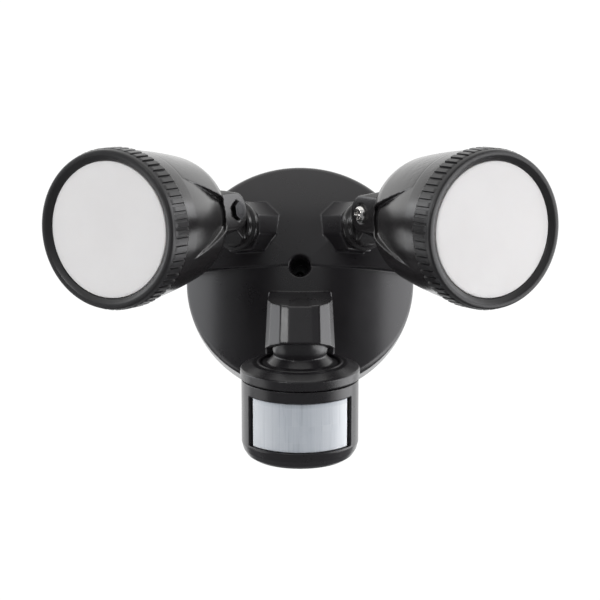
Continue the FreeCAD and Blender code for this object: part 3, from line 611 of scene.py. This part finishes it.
# the strap's thread ends blind at its back face
# painted shade: the strap is given black steel so that the hole through the canopy reads black
softened("mounting_strap", 0.00034, 3, "strap", MAT["black_steel"], web=((0.0, -0.0008, 0.0), 0.0023, 0.0010))
lid = softened("sensor_cap", 0.00036, 5, "sensor_lid", MAT["bronze_plastic"])
true_round(lid, SENSOR_M, 2, lambda z: np.where(z < -12.0, 33.0, 1e3))
housing = softened("sensor_body", 0.00036, 5, "sensor_housing", MAT["bronze_plastic"])
true_round(housing, SENSOR_M, 2, lambda z: np.where(z > -55.0, 32.4, 1e3))
window = softened("sensor_lens", 0.00030, 3, "sensor_window", MAT["fresnel_lens"])
true_round(window, SENSOR_M, 2, lambda z: 31.4 + 0.0 * z)

# the rest of the nodes keep their own shape
for n, o in NODES.items():
    if not o.hide_render:
        set_mat(o, MAT[SLOT[n]])

# ---- stage -----------------------------------------------------------------
fl = obj_from("floor", [(-4, -4, -0.42), (4, -4, -0.42), (4, 4, -0.42), (-4, 4, -0.42)], [(0, 1, 2, 3)], False)
fm, fnt, fbs = new_mat("floor_pale")
fbs.inputs["Base Color"].default_value = (0.80, 0.80, 0.80, 1)
fbs.inputs["Roughness"].default_value = 0.7
set_mat(fl, fm)
fl.visible_glossy = False


def dome():
    bm = bmesh.new()
    bmesh.ops.create_icosphere(bm, subdivisions=4, radius=9.0)
    me = bpy.data.meshes.new("backdrop")
    bm.to_mesh(me)
    bm.free()
    o = bpy.data.objects.new("backdrop", me)
    sc.collection.objects.link(o)
    m = bpy.data.materials.new("backdrop_white")
    m.use_nodes = True
    nt = m.node_tree
    nt.nodes.clear()
    out = nt.nodes.new("ShaderNodeOutputMaterial")
    em = nt.nodes.new("ShaderNodeEmission")
    em.inputs[0].default_value = (1, 1, 1, 1)
    em.inputs[1].default_value = 1.05
    nt.links.new(em.outputs[0], out.inputs[0])
    me.materials.append(m)
    o.visible_diffuse = o.visible_glossy = o.visible_transmission = o.visible_volume_scatter = o.visible_shadow = False


dome()

w = bpy.data.worlds.new("world")
sc.world = w
w.use_nodes = True
bg = w.node_tree.nodes["Background"]
bg.inputs[0].default_value = (0.95, 0.97, 1.0, 1)
bg.inputs[1].default_value = 0.24


def panel(name, loc, target, size_x, size_y, radiance, col=(1, 1, 1)):
    """Rectangular light with a given brightness of its face."""
    d = bpy.data.lights.new(name, "AREA")
    d.shape = "RECTANGLE"
    d.size = size_x
    d.size_y = size_y
    d.energy = radiance * math.pi * size_x * size_y
    d.color = col
    o = bpy.data.objects.new(name, d)
    o.location = loc
    o.rotation_mode = "QUATERNION"
    o.rotation_quaternion = (Vector(target) - Vector(loc)).to_track_quat("-Z", "Y")
    o.visible_camera = False
    sc.collection.objects.link(o)
    return o


# broad panels: overhead, behind and to both sides, one small key, dim fill in front
panel("top_panel", (0.0, 0.7, 0.9), (0.0, 0.7, 0.0), 4.0, 3.4, 0.85, (1.0, 0.995, 0.98))
panel("back_low", (0.0, 1.3, -0.02), (0.0, 0.0, -0.02), 5.0, 0.75, 1.15)
panel("back_high", (0.0, 1.3, 0.95), (0.0, 0.0, 0.95), 5.0, 1.2, 0.45)
panel("left_panel", (-1.35, 0.14, 0.32), (0, 0.14, 0.32), 1.4, 0.95, 2.2, (0.96, 0.975, 1.0))
panel("right_panel", (1.35, 0.10, 0.15), (0, 0.10, 0.15), 1.5, 1.3, 3.0, (0.98, 0.98, 1.0))
panel("left_key", (-0.8755, -1.497, 0.3876), (-0.0085, -0.0995, -0.035), 0.19, 0.26, 30.0)
panel("right_low", (1.31, -0.73, -0.375), (0.1, -0.15, 0.0), 0.40, 0.32, 3.6)
panel("side_low_left", (-1.35, 0.0, -0.52), (0, -0.08, -0.1), 0.9, 0.6, 1.2)
panel("side_low_right", (1.35, 0.0, -0.52), (0, -0.08, -0.1), 0.9, 0.6, 1.2)
panel("front_panel", (0.0, -2.2, 0.75), (0, -0.05, 0.0), 2.6, 1.5, 0.32)

sc.view_settings.view_transform = "Standard"
sc.view_settings.look = "None"
sc.view_settings.exposure = 0.0
sc.view_settings.gamma = 1.0
